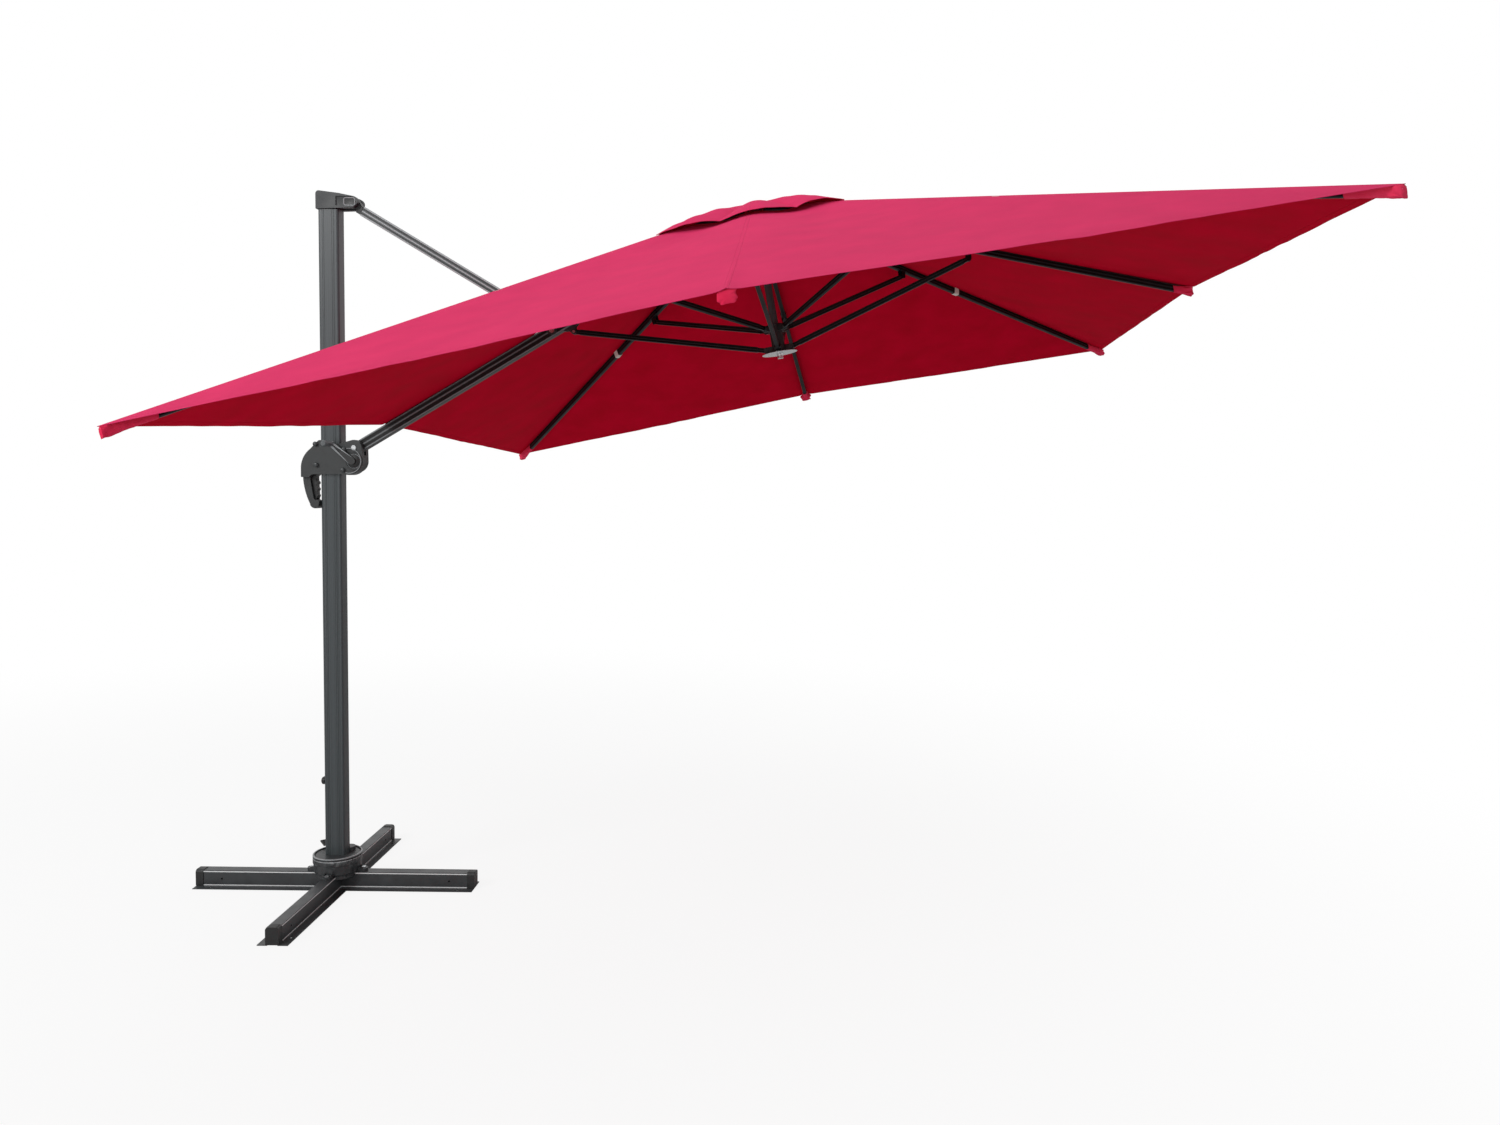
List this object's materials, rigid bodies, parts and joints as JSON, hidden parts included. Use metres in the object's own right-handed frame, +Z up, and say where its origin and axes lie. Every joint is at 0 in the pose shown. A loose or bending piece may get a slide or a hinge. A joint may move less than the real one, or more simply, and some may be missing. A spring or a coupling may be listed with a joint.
{
  "type": "patio umbrella with base",
  "caption": "Square cantilever patio umbrella in pinkish red fabric with a folding rib frame, hung from a grey mast with a crank carriage on a black turning cross foot.",
  "frame": {"origin": "on the floor, on the vertical axis that the mast turns about", "axes": "+X from the mast towards the hanging canopy along the boom, +Z up the mast, +Y across the boom so that the crank is on the -Y side"},
  "size_m": [3.6807, 3, 2.622],
  "materials": {
    "foot_paint": "satin",
    "mast_paint": "satin",
    "black_plastic": "matte",
    "dark_plastic": "matte",
    "liner_plastic": "matte",
    "steel": "satin",
    "aluminium": "satin",
    "frame_paint": "satin",
    "cover_fabric": "matte"
  },
  "bodies": {
    "foot": {"leg_x": "foot_paint", "leg_y": "foot_paint", "leg_end_caps": "black_plastic", "turning_ring": "foot_paint", "ring_bolts": "steel", "thrust_washer": "liner_plastic", "centre_bolt": "steel"},
    "mast": {"turntable": "foot_paint", "mast_spigot": "steel", "mast_tube": "mast_paint", "mast_cap": "mast_paint", "cap_pin": "steel", "pedal_bracket": "foot_paint"},
    "knob": {"mast_knob": "black_plastic"},
    "pedal": {"foot_pedal": "black_plastic"},
    "strut": {"strut_tube": "mast_paint", "strut_ends": "frame_paint"},
    "boom": {"boom_tube": "frame_paint", "boom_fittings": "frame_paint", "boom_pins": "steel", "fabric_180": "cover_fabric"},
    "carriage": {"carriage_front": "dark_plastic", "carriage_back": "dark_plastic", "carriage_bolts": "steel", "slide_liner": "liner_plastic", "boom_pivot_pin": "steel"},
    "trigger": {"trigger": "black_plastic"},
    "crank": {"crank_arm": "dark_plastic", "winch_drum": "aluminium"},
    "grip": {"crank_grip": "dark_plastic"},
    "top_hub": {"top_hub": "dark_plastic", "centre_tube": "mast_paint", "hub_cap": "black_plastic"},
    "lower_hub": {"lower_hub": "dark_plastic", "hub_disc": "aluminium"},
    "stretcher_180": {"stretcher_180": "frame_paint"},
    "rib_0": {"rib_0": "frame_paint", "fabric_0": "cover_fabric"},
    "stretcher_0": {"stretcher_0": "frame_paint"},
    "rib_45": {"rib_45": "frame_paint", "fabric_45": "cover_fabric"},
    "stretcher_45": {"stretcher_45": "frame_paint"},
    "rib_90": {"rib_90": "frame_paint", "fabric_90": "cover_fabric"},
    "stretcher_90": {"stretcher_90": "frame_paint"},
    "rib_135": {"rib_135": "frame_paint", "fabric_135": "cover_fabric"},
    "stretcher_135": {"stretcher_135": "frame_paint"},
    "rib_225": {"rib_225": "frame_paint", "fabric_225": "cover_fabric"},
    "stretcher_225": {"stretcher_225": "frame_paint"},
    "rib_270": {"rib_270": "frame_paint", "fabric_270": "cover_fabric"},
    "stretcher_270": {"stretcher_270": "frame_paint"},
    "rib_315": {"rib_315": "frame_paint", "fabric_315": "cover_fabric"},
    "stretcher_315": {"stretcher_315": "frame_paint"}
  },
  "joints": [
    {"name": "mast_turn", "type": "hinge", "parent": "foot", "child": "mast", "pos_m": [0, 0, 0.135], "axis": [0, 0, 1], "continuous": true},
    {"name": "knob_screw", "type": "hinge", "parent": "mast", "child": "knob", "pos_m": [-0.038, 0, 0.415], "axis": [-1, 0, 0], "continuous": true},
    {"name": "pedal_press", "type": "hinge", "parent": "mast", "child": "pedal", "pos_m": [-0.04756, 0.04282, 0.142], "axis": [-0.6691, -0.7431, 0], "range_deg": [0, 8], "stiffness_Nm_per_rad": 2, "springref_deg": -20.05},
    {"name": "arm_tilt", "type": "hinge", "parent": "mast", "child": "strut", "pos_m": [0.095, 0, 2.586], "axis": [0, 1, 0], "range_deg": [-11.5, 48]},
    {"name": "strut_to_boom", "type": "hinge", "parent": "strut", "child": "boom", "pos_m": [0.8301, 0, 2.138], "axis": [0, 1, 0], "range_deg": [-96, 23]},
    {"name": "boom_to_carriage", "type": "hinge", "parent": "boom", "child": "carriage", "pos_m": [0.095, 0, 1.69], "axis": [0, 1, 0], "range_deg": [-11.5, 48]},
    {"name": "trigger_pull", "type": "hinge", "parent": "carriage", "child": "trigger", "pos_m": [-0.064, 0, 1.628], "axis": [0, 1, 0], "range_deg": [0, 4], "stiffness_Nm_per_rad": 2, "springref_deg": -17.19},
    {"name": "canopy_fold", "type": "hinge", "parent": "boom", "child": "top_hub", "pos_m": [1.54281, 0, 2.46322], "axis": [0, 1, 0], "range_deg": [0, 67], "deforming": ["fabric_0", "fabric_45", "fabric_90", "fabric_135", "fabric_225", "fabric_270", "fabric_315", "fabric_180"]},
    {"name": "crank_turn", "type": "hinge", "parent": "carriage", "child": "crank", "pos_m": [0.095, 0, 1.64], "axis": [0, 1, 0], "range_deg": [0, 2680]},
    {"name": "grip_spin", "type": "hinge", "parent": "crank", "child": "grip", "pos_m": [0.01674, -0.066, 1.70225], "axis": [0, 1, 0], "continuous": true},
    {"name": "boom_to_stretcher", "type": "hinge", "parent": "boom", "child": "stretcher_180", "pos_m": [0.90825, 0, 2.13597], "axis": [0, 1, 0], "range_deg": [0, 134]},
    {"name": "stretcher_to_lower_hub", "type": "hinge", "parent": "stretcher_180", "child": "lower_hub", "pos_m": [1.62019, 0, 2.08219], "axis": [0, 1, 0], "range_deg": [-67, 0]},
    {"name": "hub_to_rib_0", "type": "hinge", "parent": "top_hub", "child": "rib_0", "pos_m": [1.63101, 0, 2.48113], "axis": [0, 1, 0], "range_deg": [0, 67]},
    {"name": "rib_to_stretcher_0", "type": "hinge", "parent": "rib_0", "child": "stretcher_0", "pos_m": [2.34296, 0, 2.42735], "axis": [0, 1, 0], "range_deg": [-134, 0]},
    {"name": "hub_to_rib_45", "type": "hinge", "parent": "top_hub", "child": "rib_45", "pos_m": [1.60357, 0.03182, 2.55005], "axis": [-0.693, 0.7071, -0.1407], "range_deg": [0, 67]},
    {"name": "rib_to_stretcher_45", "type": "hinge", "parent": "rib_45", "child": "stretcher_45", "pos_m": [2.11832, 0.5176, 2.45622], "axis": [-0.693, 0.7071, -0.1407], "range_deg": [-134, 0]},
    {"name": "hub_to_rib_90", "type": "hinge", "parent": "top_hub", "child": "rib_90", "pos_m": [1.58691, 0.045, 2.47217], "axis": [-0.98, 0, -0.199], "range_deg": [0, 67]},
    {"name": "rib_to_stretcher_90", "type": "hinge", "parent": "rib_90", "child": "stretcher_90", "pos_m": [1.6256, 0.732, 2.28166], "axis": [-0.98, 0, -0.199], "range_deg": [-134, 0]},
    {"name": "hub_to_rib_135", "type": "hinge", "parent": "top_hub", "child": "rib_135", "pos_m": [1.5412, 0.03182, 2.53738], "axis": [-0.693, -0.7071, -0.1407], "range_deg": [0, 67]},
    {"name": "rib_to_stretcher_135", "type": "hinge", "parent": "rib_135", "child": "stretcher_135", "pos_m": [1.10383, 0.5176, 2.25018], "axis": [-0.693, -0.7071, -0.1407], "range_deg": [-134, 0]},
    {"name": "hub_to_rib_225", "type": "hinge", "parent": "top_hub", "child": "rib_225", "pos_m": [1.5412, -0.03182, 2.53738], "axis": [0.693, -0.7071, 0.1407], "range_deg": [0, 67]},
    {"name": "rib_to_stretcher_225", "type": "hinge", "parent": "rib_225", "child": "stretcher_225", "pos_m": [1.10383, -0.5176, 2.25018], "axis": [0.693, -0.7071, 0.1407], "range_deg": [-134, 0]},
    {"name": "hub_to_rib_270", "type": "hinge", "parent": "top_hub", "child": "rib_270", "pos_m": [1.58691, -0.045, 2.47217], "axis": [0.98, 0, 0.199], "range_deg": [0, 67]},
    {"name": "rib_to_stretcher_270", "type": "hinge", "parent": "rib_270", "child": "stretcher_270", "pos_m": [1.6256, -0.732, 2.28166], "axis": [0.98, 0, 0.199], "range_deg": [-134, 0]},
    {"name": "hub_to_rib_315", "type": "hinge", "parent": "top_hub", "child": "rib_315", "pos_m": [1.60357, -0.03182, 2.55005], "axis": [0.693, 0.7071, 0.1407], "range_deg": [0, 67]},
    {"name": "rib_to_stretcher_315", "type": "hinge", "parent": "rib_315", "child": "stretcher_315", "pos_m": [2.11832, -0.5176, 2.45622], "axis": [0.693, 0.7071, 0.1407], "range_deg": [-134, 0]}
  ],
  "couplings": [
    {"joint": "strut_to_boom", "follows": "arm_tilt", "ratio": -2},
    {"joint": "boom_to_carriage", "follows": "arm_tilt", "ratio": 1},
    {"joint": "crank_turn", "follows": "canopy_fold", "ratio": 40},
    {"joint": "boom_to_stretcher", "follows": "canopy_fold", "ratio": 2},
    {"joint": "stretcher_to_lower_hub", "follows": "canopy_fold", "ratio": -1},
    {"joint": "hub_to_rib_0", "follows": "canopy_fold", "ratio": 1},
    {"joint": "rib_to_stretcher_0", "follows": "canopy_fold", "ratio": -2},
    {"joint": "hub_to_rib_45", "follows": "canopy_fold", "ratio": 1},
    {"joint": "rib_to_stretcher_45", "follows": "canopy_fold", "ratio": -2},
    {"joint": "hub_to_rib_90", "follows": "canopy_fold", "ratio": 1},
    {"joint": "rib_to_stretcher_90", "follows": "canopy_fold", "ratio": -2},
    {"joint": "hub_to_rib_135", "follows": "canopy_fold", "ratio": 1},
    {"joint": "rib_to_stretcher_135", "follows": "canopy_fold", "ratio": -2},
    {"joint": "hub_to_rib_225", "follows": "canopy_fold", "ratio": 1},
    {"joint": "rib_to_stretcher_225", "follows": "canopy_fold", "ratio": -2},
    {"joint": "hub_to_rib_270", "follows": "canopy_fold", "ratio": 1},
    {"joint": "rib_to_stretcher_270", "follows": "canopy_fold", "ratio": -2},
    {"joint": "hub_to_rib_315", "follows": "canopy_fold", "ratio": 1},
    {"joint": "rib_to_stretcher_315", "follows": "canopy_fold", "ratio": -2}
  ]
}
